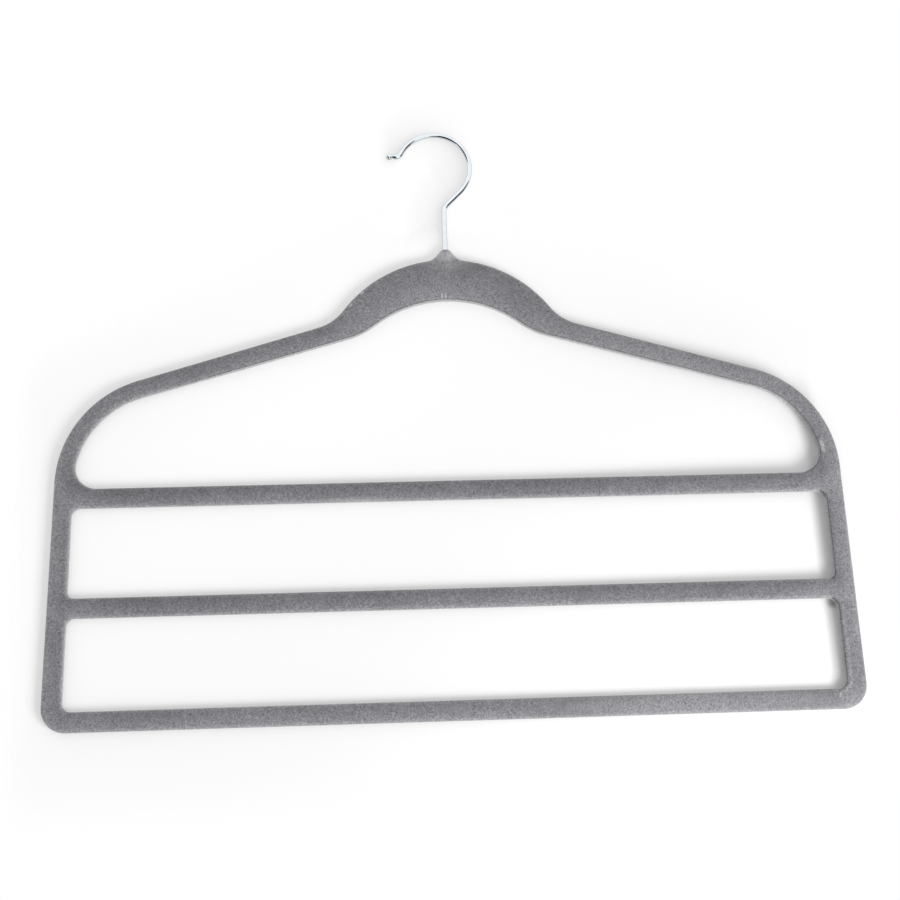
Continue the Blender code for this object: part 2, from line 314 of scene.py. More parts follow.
def dress(made: Object, material: Material) -> None:
    """Shade a mesh smooth between its sharp edges, and give it its finish.

    Args:
        made: The mesh object.
        material: Its finish.
    """
    made.data.shade_smooth()
    made.data.set_sharp_from_angle(angle=SHARP_ANGLE)
    made.data.materials.append(material)


class Graph:
    """Node tree of one material or world, with short ways to add its usual nodes."""

    MIX_FACTOR, MIX_FIRST, MIX_SECOND, MIX_RESULT = 0, 6, 7, 2

    def __init__(self, owner: Material | bpy.types.World) -> None:
        """Clear the owner's node tree and keep it.

        Args:
            owner: Material or world that the tree belongs to.
        """
        owner.use_nodes = True
        self.tree = owner.node_tree
        self.tree.nodes.clear()

    def node(self, kind: str, inputs: dict | None = None, **settings: object) -> bpy.types.Node:
        """New node.

        Args:
            kind: Type of the node.
            inputs: Values or links for its inputs, by name or number.
            settings: Its other properties.

        Returns:
            The node.
        """
        made = self.tree.nodes.new(kind)
        for name, value in settings.items():
            setattr(made, name, value)
        for key, value in (inputs or {}).items():
            if isinstance(value, Socket):
                self.tree.links.new(value, made.inputs[key])
            else:
                made.inputs[key].default_value = value
        return made

    def math(self, operation: str, *values: object, clamp: bool = False) -> Socket:
        """Result of a Math node."""
        inputs = dict(enumerate(values))
        return self.node("ShaderNodeMath", inputs, operation=operation, use_clamp=clamp).outputs[0]

    def plus(self, first: object, second: object) -> Socket:
        """Sum of two values."""
        return self.math("ADD", first, second)

    def times(self, *values: object) -> Socket:
        """Product of two or more values."""
        return reduce(lambda product, value: self.math("MULTIPLY", product, value), values)

    def rest(self, share: object) -> Socket:
        """What a share leaves of 1."""
        return self.math("SUBTRACT", 1.0, share)

    def vector_math(self, operation: str, *values: object) -> bpy.types.bpy_prop_collection:
        """Outputs of a Vector Math node."""
        return self.node("ShaderNodeVectorMath", dict(enumerate(values)), operation=operation).outputs

    def dot(self, vector: Socket, way: Place) -> Socket:
        """Length of a vector along a direction."""
        return self.vector_math("DOT_PRODUCT", vector, way)["Value"]

    def ellipse(self, *axes: tuple[Socket, float]) -> Socket:
        """Squared distance from a middle in which each axis, a length and its half, counts by its half."""
        return self.plus(*(self.math("POWER", self.math("DIVIDE", *axis), 2.0) for axis in axes))

    def ramp(self, value: object, span: Span, start: float = 0.0, end: float = 1.0) -> Socket:
        """Value mapped smoothly from a span onto start to end."""
        inputs = dict(enumerate((value, *span, start, end)))
        return self.node("ShaderNodeMapRange", inputs, interpolation_type="SMOOTHSTEP").outputs[0]

    def fall(self, value: object, span: Span) -> Socket:
        """Value mapped smoothly from a span onto 1 to 0."""
        return self.ramp(value, span, 1.0, 0.0)

    def noise(self, vector: Socket, scale: float, detail: float, distortion: float = 0.0) -> Socket:
        """Noise of this many grains in a metre, from 0 to 1."""
        inputs = {"Vector": vector, "Scale": scale, "Detail": detail, "Distortion": distortion}
        return self.node("ShaderNodeTexNoise", inputs).outputs["Fac"]

    def mix_colour(self, share: object, first: object, second: object) -> Socket:
        """Colour between two others.

        Args:
            share: Share of the second colour.
            first: Colour at 0.
            second: Colour at 1.

        Returns:
            The mixed colour.
        """
        inputs = {self.MIX_FACTOR: share}
        for key, value in ((self.MIX_FIRST, first), (self.MIX_SECOND, second)):
            inputs[key] = (*value, 1) if isinstance(value, tuple) else value
        return self.node("ShaderNodeMix", inputs, data_type="RGBA").outputs[self.MIX_RESULT]

    def object_place(self) -> Socket:
        """Place on the object, in metres."""
        return self.node("ShaderNodeTexCoord").outputs["Object"]

    def attribute(self, name: str) -> Socket:
        """Number that the mesh holds at each point."""
        return self.node("ShaderNodeAttribute", attribute_name=name).outputs["Fac"]

    def bump(self, height: Socket, distance: float, strength: float) -> Socket:
        """Normal of a bumpy surface."""
        inputs = {"Strength": strength, "Distance": distance, "Height": height}
        return self.node("ShaderNodeBump", inputs).outputs["Normal"]

    def principled(self, **inputs: object) -> None:
        """Principled shader with its inputs by name, as the material's surface.

        Args:
            inputs: Values or links, with _ for a space in a name.
        """
        named = {name.replace("_", " "): value for name, value in inputs.items()}
        shader = self.node("ShaderNodeBsdfPrincipled", named)
        self.node("ShaderNodeOutputMaterial", {"Surface": shader.outputs[0]})


@dataclass(frozen=True)
class PaleSpot:
    """Paler place on the front face, as an upright or slanted stroke: scuffed flock at some, painted
    highlight at another.
    """

    x: float
    z: float
    half_length: float
    half_width: float
    lean_deg: float
    strength: float


@dataclass(frozen=True)
class FlockFinish:
    """Short grey nylon flock: a velvety coat with a fine worm-like grain, and painted shading across each
    limb.
    """

    dark: Colour = (0.130, 0.129, 0.139)
    light: Colour = (0.290, 0.289, 0.309)
    pale: Colour = (0.50, 0.50, 0.51)
    grain_contrast: float = 0.42
    grain_per_metre: float = 1150.0
    grain_detail: float = 2.0
    grain_twist: float = 1.2
    fibre_per_metre: float = 3200.0
    fibre_detail: float = 1.0
    fibre_share: float = 0.5
    mottle_per_metre: float = 190.0
    mottle_detail: float = 3.0
    mottle_twist: float = 0.6
    mottle_tones: Span = (0.42, 0.58)
    cloud_per_metre: float = 16.0
    cloud_detail: float = 2.0
    cloud_tone: float = 0.09
    shade_dip: float = 0.6
    painted_shading_share: float = 0.42
    spot_ragged: float = 0.35
    spot_edge: Span = (0.35, 1.15)
    roughness: Span = (0.9, 1.0)
    specular: float = 0.25
    sheen_weight: float = 0.5
    sheen_roughness: float = 0.45
    bump_distance: float = 0.22 * MM
    bump_strength: float = 0.6

    def material(self, pale_places: tuple[PaleSpot, ...]) -> Material:
        """Material of the flock, paler at given places, with painted rim light, painted shading and painted
        shade.

        Args:
            pale_places: Paler places on the front: scuffed flock, and a painted highlight on the nub's
                dome.

        Returns:
            The material.
        """
        made = bpy.data.materials.new(Slot.FLOCK.value)
        graph = Graph(made)
        place = graph.object_place()
        grain = graph.noise(place, self.grain_per_metre, self.grain_detail, self.grain_twist)
        fibre = graph.noise(place, self.fibre_per_metre, self.fibre_detail)
        mottle = graph.noise(place, self.mottle_per_metre, self.mottle_detail, self.mottle_twist)
        cloud = graph.noise(place, self.cloud_per_metre, self.cloud_detail)
        tone = graph.ramp(mottle, NOISE_WIDE, *self.mottle_tones)
        tone = graph.plus(tone, graph.ramp(cloud, NOISE_MIDDLE, -self.cloud_tone, self.cloud_tone))
        # Painted shading across each limb, from the mesh: lighter towards its lower and outer edges.
        tone = graph.plus(tone, graph.times(graph.attribute("lay"), self.painted_shading_share))
        # Painted rim light from the mesh, then the paler spots.
        paleness = graph.attribute("edge")
        # Paler spots: scuffed flock, and a painted highlight on the nub's dome.
        for spot in pale_places:
            paleness = graph.plus(paleness, self.spot_paleness(graph, place, grain, spot))
        colour = graph.mix_colour(tone, self.dark, self.light)
        colour = graph.mix_colour(paleness, colour, self.pale)
        grains = graph.ramp(grain, NOISE_WIDE, 1.0 - self.grain_contrast, 1.0 + self.grain_contrast)
        # Painted shade: a dark line along the crisp front edges, the right rail's left walls and its
        # corners under the bars.
        dip = graph.times(graph.attribute("arris"), self.shade_dip)
        grains = graph.times(grains, graph.rest(dip))
        height = graph.plus(grain, graph.times(fibre, self.fibre_share))
        graph.principled(
            Base_Color=graph.vector_math("MULTIPLY", colour, grains)[0],
            Roughness=graph.ramp(mottle, NOISE_MIDDLE, *self.roughness),
            Normal=graph.bump(height, self.bump_distance, self.bump_strength),
            Specular_IOR_Level=self.specular,
            Sheen_Weight=self.sheen_weight,
            Sheen_Roughness=self.sheen_roughness,
        )
        return made

    def spot_paleness(self, graph: Graph, place: Socket, grain: Socket, spot: PaleSpot) -> Socket:
        """Paleness that one spot adds, broken up by the grain.

        Args:
            graph: The material's tree.
            place: Place on the object.
            grain: Noise of the grain.
            spot: The spot.

        Returns:
            The paleness.
        """
        lean = radians(spot.lean_deg)
        away = graph.vector_math("SUBTRACT", place, (spot.x, 0, spot.z))[0]
        along = graph.dot(away, (sin(lean), 0, cos(lean)))
        across = graph.dot(away, (cos(lean), 0, -sin(lean)))
        share = graph.ellipse((along, spot.half_length), (across, spot.half_width))
        ragged = graph.plus(share, graph.ramp(grain, NOISE_MIDDLE, -self.spot_ragged, self.spot_ragged))
        return graph.ramp(ragged, self.spot_edge, spot.strength, 0.0)


@dataclass(frozen=True)
class MetalFinish:
    """Bare or plated metal, with a fine noise in its colour, gloss and surface."""

    slot: Slot
    colours: tuple[Colour, Colour]
    colour_span: Span
    noise_per_metre: float
    noise_detail: float
    roughness: Span
    bump_distance: float
    bump_strength: float

    def material(self) -> Material:
        """Material of the metal.

        Returns:
            The material.
        """
        made = bpy.data.materials.new(self.slot.value)
        graph = Graph(made)
        ripple = graph.noise(graph.object_place(), self.noise_per_metre, self.noise_detail)
        graph.principled(
            Base_Color=graph.mix_colour(graph.ramp(ripple, self.colour_span), *self.colours),
            Metallic=1.0,
            Roughness=graph.ramp(ripple, NOISE_MIDDLE, *self.roughness),
            Normal=graph.bump(ripple, self.bump_distance, self.bump_strength),
        )
        return made


CHROME = MetalFinish(
    slot=Slot.CHROME,
    colours=((0.87, 0.925, 0.965), (0.80, 0.865, 0.915)),
    colour_span=(0.35, 0.7),
    noise_per_metre=260.0,
    noise_detail=3.0,
    roughness=(0.015, 0.04),
    bump_distance=0.01 * MM,
    bump_strength=0.2,
)
STEEL = MetalFinish(
    slot=Slot.SPRING,
    colours=((0.33, 0.335, 0.35), (0.47, 0.48, 0.5)),
    colour_span=NOISE_MIDDLE,
    noise_per_metre=5200.0,
    noise_detail=2.0,
    roughness=(0.26, 0.42),
    bump_distance=0.006 * MM,
    bump_strength=0.4,
)


@dataclass
class FlockedFrame:
    """Moulded frame with its flock coat: nub, neck, arms, shoulders, rails and three bars."""

    nub_top: float
    nub_height: float = 6.5 * MM
    nub_radius: float = 4.5 * MM
    nub_side_deg: float = 40
    nub_foot_radius: float = 7 * MM
    nub_rim_radius: float = 2.6 * MM
    nub_wall_half: float = 0.35 * MM
    nub_rise: Span = (-0.5 * MM, 4 * MM)
    nub_spread: Span = (2.2, 2.9)
    boss_radius: float = 3.3 * MM
    boss_straight: float = 2.5 * MM
    boss_taper: float = 12 * MM
    boss_end_radius: float = 2.3 * MM
    boss_blend: float = 0.8 * MM
    crown_radius: float = 75.3 * MM
    crown_start_deg: float = 8.6
    crown_end_deg: float = 52.8
    neck_blend_radius: float = 29 * MM
    neck_depth: float = 24.85 * MM
    arch_radius: float = 69 * MM
    arch_end_deg: float = 36
    arch_foot_radius: float = 45 * MM
    arm_drop: float = 18.7 * MM
    arm_depth: float = 12.2 * MM
    arm_slope_deg: float = 16.1
    arm_taper_deg: float = 0.5
    shoulder_width: float = 442.2 * MM
    shoulder_radius: float = 62 * MM
    shoulder_wall: float = 11.5 * MM
    shoulder_lean_deg: float = 16
    shoulder_corner_reach: float = 2.9 * MM
    shoulder_to_top_bar: float = 3.8 * MM
    rail_width: float = 10.1 * MM
    rail_outside_lean_deg: float = 1.36
    rail_inside_lean_deg: float = 0.9
    base_corner_radius: float = 13.5 * MM
    bar_pitch: float = 60.85 * MM
    bar_height: float = 11.1 * MM
    shoulder_fillet: float = 12.4 * MM
    upper_fillet: float = 5 * MM
    lower_fillet: float = 3.5 * MM
    base_fillet: float = 5 * MM
    thickness: float = 5 * MM
    rim_radius: float = 1.9 * MM
    crisp_rim_radius: float = 0.6 * MM
    face_crown: float = 0.22 * MM
    face_crown_reach: float = 5 * MM
    facing_down: Span = (0.3, 0.7)
    facing_left: Span = (0.1, 0.5)
    facing_right: Span = (0.3, 0.8)
    crisp_arm_rise: float = 20 * MM
    crisp_arm_ends: Span = (-170 * MM, -120 * MM)
    rail_rise: float = 15 * MM
    corner_rise: float = 5 * MM
    arris: Span = (0.35 * MM, 0.22 * MM)
    wall_shade: float = 0.35
    # Painted rim light at the edges.
    rim_light_reach: float = 2.6 * MM
    rim_light_front: float = 0.42
    rim_light_depth: Span = (-2.2 * MM, 1.5 * MM)
    rim_light_dimming: float = 0.9
    rim_light_glare: float = 0.55
    # Painted highlights on a ridge of the right rail and on the nub's flanks.
    ridge: Span = (2.4 * MM, 0.7 * MM)
    ridge_drop: Span = (0.27, 0.3)
    ridge_highlight: float = 0.25
    nub_flank_highlight: float = 0.28
    bar_ends: Span = (0.19, 0.208)
    bar_shading: float = 0.35
    middle_bar_share: float = 0.7
    painted_shading_reach: float = 12 * MM
    shading_side: float = 0.6
    shading_side_half: float = 0.1
    shading_up: float = -0.8
    socket_radius: float = 1.7 * MM
    chamber_radius: float = 2.55 * MM
    chamber_half: float = 0.7 * MM
    ring_depth: float = 6.6 * MM
    socket_depth: float = 17.3 * MM
    socket_steps: int = 48
    grid_step: float = 1.1 * MM
    grid_angle_deg: float = 60
    grid_clearance: float = 0.62
    arc_step: float = 0.3 * MM
    rim_steps: int = 4
    pile_wave: float = 3.2 * MM
    pile_height: float = 0.05 * MM
    pile_ripple: Span = (0.5, 2.1)
    overrun: float = 2 * MM

    @property
    def crown_top(self) -> float:
        """Height of the neck's crown on the swivel axis."""
        return self.nub_top - self.nub_height

    @property
    def shoulder_corner(self) -> Vector:
        """Corner that the top of the right arm and the outer side of the right rail would make."""
        x = self.shoulder_width / 2
        return Vector((x, self.crown_top - self.arm_drop - x * tan(radians(self.arm_slope_deg))))

    @property
    def rail_outside(self) -> Line:
        """Line of the right rail's outer side."""
        return self.shoulder_corner, falling(90 - self.rail_outside_lean_deg)

    @property
    def top_bar(self) -> float:
        """Height of the top bar's middle.

        Returns:
            The height.
        """
        lean = radians(self.rail_outside_lean_deg)
        turn = pi / 2 - lean - radians(self.arm_slope_deg)
        reach = self.shoulder_radius * tan(turn / 2)
        foot = self.shoulder_corner.y - reach * cos(lean)
        return foot - self.shoulder_to_top_bar - self.bar_height / 2

    @property
    def rail_inside(self) -> Line:
        """Line of the right rail's inner side."""
        outside = at_height(self.rail_outside, self.top_bar + self.bar_height / 2)
        return outside - Vector((self.rail_width, 0)), falling(90 - self.rail_inside_lean_deg)

    @property
    def base(self) -> float:
        """Height of the frame's lower edge."""
        return self.top_bar - 2 * self.bar_pitch - self.bar_height / 2

    def outer_outline(self) -> list[Vector]:
        """Outside of the frame: nub, crown, arms, shoulders, rails and base.

        Returns:
            The outline's points.
        """
        crown_centre = Vector((0, self.crown_top - self.crown_radius))
        crown_start = on_arc(crown_centre, self.crown_radius, self.crown_start_deg)
        crown_end = on_arc(crown_centre, self.crown_radius, self.crown_end_deg)
        fall = 90 - self.nub_side_deg
        nub = tangent_corner(Vector((0, self.nub_top - self.nub_radius)), self.nub_radius, -fall, fall)
        nub_foot = crossing((nub, falling(fall)), (crown_start, falling(self.crown_start_deg)))
        crown = tangent_corner(crown_centre, self.crown_radius, self.crown_start_deg, self.crown_end_deg)
        arm = (self.shoulder_corner, falling(self.arm_slope_deg))
        neck_foot = crossing((crown_end, falling(self.crown_end_deg)), arm)
        foot = at_height(self.rail_outside, self.base)
        half = [(nub, self.nub_radius), (nub_foot, self.nub_foot_radius), (crown, self.crown_radius)]
        half += [(neck_foot, self.neck_blend_radius), (self.shoulder_corner, self.shoulder_radius)]
        half.append((foot, self.base_corner_radius))
        return rounded_loop(mirrored(half), self.arc_step)

    def shoulder_opening(self) -> list[Vector]:
        """Hole under the arms: the arch of the neck, the undersides of the arms and the top bar.

        Returns:
            The outline's points.
        """
        arch_centre = Vector((0, self.crown_top - self.neck_depth - self.arch_radius))
        arch = tangent_corner(arch_centre, self.arch_radius, -self.arch_end_deg, self.arch_end_deg)
        arm_middle = Vector((0, self.crown_top - self.arm_drop - self.arm_depth))
        arm = (arm_middle, falling(self.arm_slope_deg - self.arm_taper_deg))
        corner = at_height(self.rail_inside, self.top_bar + self.bar_height / 2)
        corner += Vector((self.shoulder_corner_reach, 0))
        side = (corner, falling(90 - self.shoulder_lean_deg))
        half = [
            (arch, self.arch_radius),
            (crossing((arch, falling(self.arch_end_deg)), arm), self.arch_foot_radius),
            (crossing(arm, side), self.shoulder_radius - self.shoulder_wall),
            (corner, self.shoulder_fillet),
        ]
        return rounded_loop(mirrored(half), self.arc_step)

    def window(self, upper_bar: float, lower_radius: float) -> list[Vector]:
        """Hole between a bar, given by the height of its middle, and the next one below it.

        Args:
            upper_bar: Height of the middle of the bar above it.
            lower_radius: Fillet of its lower corners.

        Returns:
            The outline's points.
        """
        top = upper_bar - self.bar_height / 2
        bottom = upper_bar - self.bar_pitch + self.bar_height / 2
        upper_corner, lower_corner = (at_height(self.rail_inside, height) for height in (top, bottom))
        half = [(upper_corner, self.upper_fillet), (lower_corner, lower_radius)]
        return rounded_loop(mirrored(half), self.arc_step)

    def loops(self) -> list[Array]:
        """Outline and holes at even steps. Turning right from each one's way leads out of the material.

        Returns:
            Rows of (x, z) for each loop, the outside first.
        """
        holes = [
            self.shoulder_opening(),
            self.window(self.top_bar, self.lower_fillet),
            self.window(self.top_bar - self.bar_pitch, self.base_fillet),
        ]
        outer = evenly(self.outer_outline(), self.grid_step, clockwise=False)
        return [outer] + [evenly(hole, self.grid_step, clockwise=True) for hole in holes]

    def nubness(self, places: Array) -> Array:
        """How much a place belongs to the nub, from 0 on the crown to 1 on the dome.

        Args:
            places: Rows of (x, z).

        Returns:
            The share of each place.
        """
        low, high = self.nub_rise
        risen = smooth_step(places[:, 1], self.crown_top + low, self.crown_top + high)
        spread = [share * self.nub_radius for share in self.nub_spread]
        return risen * (1 - smooth_step(np.abs(places[:, 0]), *spread))

    def half_thickness(self, places: Array, inside: Array) -> Array:
        """Height above the middle plane of a faintly crowned face with the boss of the shank on it.

        Args:
            places: (x, z) rows.
            inside: Distance of each place from the edge of the face.

        Returns:
            The height at each place.
        """
        fall = np.clip(1 - inside / self.face_crown_reach, 0, 1) ** 2
        plate = self.thickness / 2 - self.face_crown * fall
        x, z = places.T
        dome_centre = self.nub_top - self.boss_radius
        straight = self.crown_top - self.boss_straight
        taper = np.clip((straight - z) / self.boss_taper, 0, 1)
        radius = self.boss_radius + (self.boss_end_radius - self.boss_radius) * taper
        above = np.clip(z - dome_centre, 0, self.boss_radius)
        radius = np.sqrt(np.clip(radius**2 - above**2, 0, None))
        boss = np.sqrt(np.clip(radius**2 - x**2, 0, None))
        boss[z < straight - self.boss_taper] = 0
        near = np.clip(self.boss_blend - np.abs(plate - boss), 0, None) / self.boss_blend
        return np.maximum(plate, boss) + near * near * self.boss_blend / 4

    def inner_grid(self, rings: list[Array]) -> Array:
        """Places on a triangular grid inside the face, clear of its edges, as (x, z) rows.

        Args:
            rings: Edges of the face, as rows of (x, z).

        Returns:
            Rows of (x, z).
        """
        edge = np.vstack(rings)
        low = edge.min(0)
        high = edge.max(0)
        row_step = self.grid_step * sin(radians(self.grid_angle_deg))
        rows = []
        for i, z in enumerate(np.arange(low[1], high[1], row_step)):
            xs = np.arange(low[0] + (i % 2) * self.grid_step / 2, high[0], self.grid_step)
            rows.append(np.stack([xs, np.full(len(xs), z)], axis=1))
        places = np.vstack(rows)
        places = places[inside_rings(places, rings)]
        return places[distances(places, edge) > self.grid_clearance * self.grid_step]

    def build_mesh(self) -> Object:
        """Closed mesh of the frame, with its rounded rims and faintly crowned faces.

        Returns:
            The mesh object.
        """
        turn = [90 * i / self.rim_steps for i in range(self.rim_steps + 1)]
        # Across the edge from back to front: a side, and degrees from the wall to the face
        rows = [(1, degrees) for degrees in reversed(turn)] + [(0, 0.0)]
        rows += [(-1, degrees) for degrees in turn]
        loops = self.loops()
        points: list[Array] = []
        faces: list[tuple[int, ...]] = []
        sides: list[Array] = []
        rings = []
        ring_ids: dict[int, list[Array]] = {1: [], -1: []}
        total = 0
        for loop in loops:
            tangent = np.roll(loop, -1, axis=0) - np.roll(loop, 1, axis=0)
            tangent /= np.hypot(*tangent.T)[:, None]
            outward = np.stack([tangent[:, 1], -tangent[:, 0]], axis=1)
            nub = self.nubness(loop)
            crisp, dim, shade, glare = self.crispness(loop, outward)
            sides.append(np.stack([crisp, dim, shade, glare], axis=1))
            rim = self.rim_radius + (self.crisp_rim_radius - self.rim_radius) * crisp
            wall_half = (self.thickness / 2 - rim) * (1 - nub) + self.nub_wall_half * nub
            rim = rim + (self.nub_rim_radius - rim) * nub
            ring = loop - rim[:, None] * outward
            top = self.half_thickness(ring, np.zeros(len(ring)))
            count = len(loop)
            rings.append(ring)
            for row, (side, degrees) in enumerate(rows):
                angle = radians(degrees)
                place = loop - (rim * (1 - cos(angle)))[:, None] * outward
                depth = side * (wall_half + (top - wall_half) * sin(angle))
                points.append(np.stack([place[:, 0], depth, place[:, 1]], axis=1))
                if row:
                    here = total + row * count + np.arange(count)
                    after = total + row * count + np.roll(np.arange(count), -1)
                    faces += list(zip(here - count, after - count, after, here))
            ring_ids[1].append(total + np.arange(count))
            ring_ids[-1].append(total + (len(rows) - 1) * count + np.arange(count))
            total += len(rows) * count
        grid = self.inner_grid(rings)
        heights = self.half_thickness(grid, distances(grid, np.vstack(rings)))
        triangles = face_triangles(rings, grid)
        for side in (1, -1):
            points.append(np.stack([grid[:, 0], side * heights, grid[:, 1]], axis=1))
            ids = np.concatenate([*ring_ids[side], total + np.arange(len(grid))])
            total += len(grid)
            order = (0, 1, 2) if side < 0 else (2, 1, 0)
            faces += [tuple(row) for row in ids[triangles][:, order].tolist()]
        places = np.vstack(points)
        made = mesh_object("flocked_frame", places.tolist(), [tuple(int(i) for i in f) for f in faces])
        self.keep_marks(made, places, loops, np.vstack(sides))
        return made

    def crispness(self, loop: Array, outward: Array) -> tuple[Array, ...]:
        """How crisp the rim is along an outline, and how little light its wall gets.

        Args:
            loop: The outline, as (x, z) rows.
            outward: Directions out of the material.

        Returns:
            Crispness, 1 under the arms and left on the right rail; dimness, 1 on that side alone; shade, 1
            in its corners right under the bars; glare, 1 on the right side of that rail.
        """
        arms = self.top_bar + self.bar_height
        under = smooth_step(-outward[:, 1], *self.facing_down)
        under = under * smooth_step(loop[:, 1], arms, arms + self.crisp_arm_rise)
        under = under * smooth_step(loop[:, 0], *self.crisp_arm_ends)
        rail = self.shoulder_width / 2 - 3 * self.rail_width
        on_rail = smooth_step(loop[:, 0], rail, rail + self.rail_rise)
        left = smooth_step(-outward[:, 0], *self.facing_left) * on_rail
        corner = left * smooth_step(-outward[:, 1], *self.facing_left)
        corner = corner * smooth_step(-loop[:, 1], -self.top_bar, -self.top_bar + self.corner_rise)
        right = smooth_step(outward[:, 0], *self.facing_right) * on_rail
        return np.maximum(under, left), left, corner, right

    def keep_marks(self, made: Object, points: Array, loops: list[Array], sides: Array) -> None:
        """Store what the finish needs at each point: painted rim light, arris line, painted shade and
        painted shading.

        Args:
            made: The frame's object.
            points: Its points.
            loops: The outlines, as (x, z) rows.
            sides: Crispness, dimness, shade and glare of each point of these.
        """
        places = points[:, [0, 2]]
        far = np.full(len(places), np.inf)
        nearest = np.zeros(len(places), int)
        # Painted shading: lighter towards the lower edges and the outer edge of each side's limbs, darker
        # towards the upper and inner ones.
        lay = np.zeros(len(places))
        sideways = self.shading_side * np.clip(places[:, 0] / self.shading_side_half, -1, 1)
        lit = np.stack([sideways, np.full(len(places), self.shading_up)], axis=1)
        start = 0
        for loop in loops:
            found = nearest_points(places, loop)
            towards = loop[found] - places
            apart = np.hypot(*towards.T)
            nearest = np.where(apart < far, start + found, nearest)
            far = np.minimum(far, apart)
            towards /= np.maximum(apart, self.crisp_rim_radius)[:, None]
            lay += (towards * lit).sum(1) * np.clip(1 - apart / self.painted_shading_reach, 0, 1)
            start += len(loop)
        crisp, dim, shade, glare = sides[nearest].T
        # Painted rim light: paler towards every edge, more so down the wall towards the board as light
        # bounced off it; less on the right rail's sides.
        closeness = np.clip(1 - far / self.rim_light_reach, 0, 1) ** 2
        deep = smooth_step(points[:, 1], *self.rim_light_depth)
        front = points[:, 1] < -self.thickness / 4
        line = bell(far, *self.arris) * front
        wall = far < self.crisp_rim_radius / 2
        # Painted highlights: a light ridge on the front rim of the right rail's left side low down, and the
        # nub's flanks.
        ridge = bell(far, *self.ridge) * front
        ridge = ridge * dim * smooth_step(-places[:, 1], *self.ridge_drop)
        flank = self.nubness(places) * np.clip(np.abs(places[:, 0]) / self.nub_radius, 0, 1)
        between = 1 - smooth_step(np.abs(places[:, 0]), *self.bar_ends)
        # Painted shading: the top and middle bars darker between their ends.
        for height, share in ((self.top_bar, 1.0), (self.top_bar - self.bar_pitch, self.middle_bar_share)):
            lay -= self.bar_shading * share * bell(places[:, 1], height, 2 * self.bar_height) * between
        edge = closeness * (self.rim_light_front + (1 - self.rim_light_front) * deep) * (1 - self.rim_light_dimming * dim)
        pale = self.ridge_highlight * ridge + self.nub_flank_highlight * flank
        # arris: painted shade as a dark line along the crisp front edges, on the right rail's left walls
        # and in its corners under the bars.
        values = {
            "edge": edge * (1 - self.rim_light_glare * glare) + pale,
            "arris": np.maximum(crisp * line, np.maximum(shade, self.wall_shade * dim) * wall),
            "lay": lay,
        }
        for name, numbers in values.items():
            layer = made.data.attributes.new(name, "FLOAT", "POINT")
            layer.data.foreach_set("value", numbers.astype(np.float32))

    def raise_pile(self, made: Object) -> None:
        """Move each point along its normal by a small smooth noise, as uneven flock does.

        Args:
            made: The frame's object.
        """
        mesh = made.data
        places = np.empty(len(mesh.vertices) * 3, np.float32)
        normals = np.empty(len(mesh.vertices) * 3, np.float32)
        mesh.vertices.foreach_get("co", places)
        mesh.vertex_normals.foreach_get("vector", normals)
        waves = places.reshape(-1, 3) / self.pile_wave
        share, finer = self.pile_ripple
        swell = [noise.noise(w) + share * noise.noise(w * finer) for w in map(Vector, waves.tolist())]
        raised = places + normals * np.repeat(np.array(swell) * self.pile_height, 3)
        mesh.vertices.foreach_set("co", raised.astype(np.float32))
        mesh.update()

    def cut_socket(self, made: Object) -> None:
        """Cut the socket of the shank, with the chamber of its ring, into the nub.

        Args:
            made: The frame's object.
        """
        ring = self.nub_top - self.ring_depth
        top = self.nub_top + self.overrun
        foot = self.nub_top - self.socket_depth
        high = ring + self.chamber_half
        low = ring - self.chamber_half
        narrow = self.socket_radius
        wide = self.chamber_radius
        profile = [(0, top), (narrow, top), (narrow, high), (wide, high)]
        profile += [(wide, low), (narrow, low), (narrow, foot), (0, foot)]
        cutter = turned("socket_cutter", profile, self.socket_steps)
        boolean = made.modifiers.new("socket", "BOOLEAN")
        boolean.operation = "DIFFERENCE"
        boolean.solver = "EXACT"
        boolean.object = cutter
        apply_modifiers(made)
        bpy.data.objects.remove(cutter)

    def pale_spots(self) -> tuple[PaleSpot, ...]:
        """Paler places on the front: scuffed flock, a painted highlight on the nub's dome, and faint paler
        patches.

        Returns:
            The spots.
        """
        nub = self.nub_top / MM
        crown = self.crown_top / MM
        arch = crown - self.neck_depth / MM
        # Painted highlight: the nub's dome. The crown, lower right corner, top bar line, bottom bar and
        # right arm are only paler.
        # Scuffed flock: two marks under the neck, the right shoulder, the small lower right one and two on
        # the left arm.
        # x, z, half length and half width in mm, lean in degrees, strength
        rows = (
            (-2.75, arch + 2, 2.1, 0.5, 0, 1.2),
            (-0.7, arch + 2, 2.1, 0.5, 0, 1.2),
            (0, nub - 3.4, 5.4, 8, 0, 0.38),
            (0, crown - 1.5, 6, 18, 0, 0.2),
            (212.6, -194.4, 4.6, 1.5, -10, 0.5),
            (209.4, -334.4, 1.7, 0.6, 20, 0.5),
            (214, -331, 14, 6, 0, 0.12),
            (-49.2, -97.4, 1.6, 1.1, 40, 0.5),
            (-55.9, -104.9, 1.6, 1.1, 40, 0.45),
            (-54, -219, 22, 1.5, 90, 0.2),
            (130, -336, 85, 6, 90, 0.17),
            (140, -141, 80, 6, 106, 0.09),
        )
        return tuple(
            PaleSpot(x * MM, z * MM, length * MM, width * MM, lean, strength)
            for x, z, length, width, lean, strength in rows
        )

    def build(self) -> Object:
        """Build, cut and dress the frame, and put it in place of its solid.

        Returns:
            The frame's object.
        """
        made = self.build_mesh()
        orient(made)
        self.raise_pile(made)
        self.cut_socket(made)
        dress(made, FlockFinish().material(self.pale_spots()))
        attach(made, Body.FRAME.value)
        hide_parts("hanger_frame")
        return made


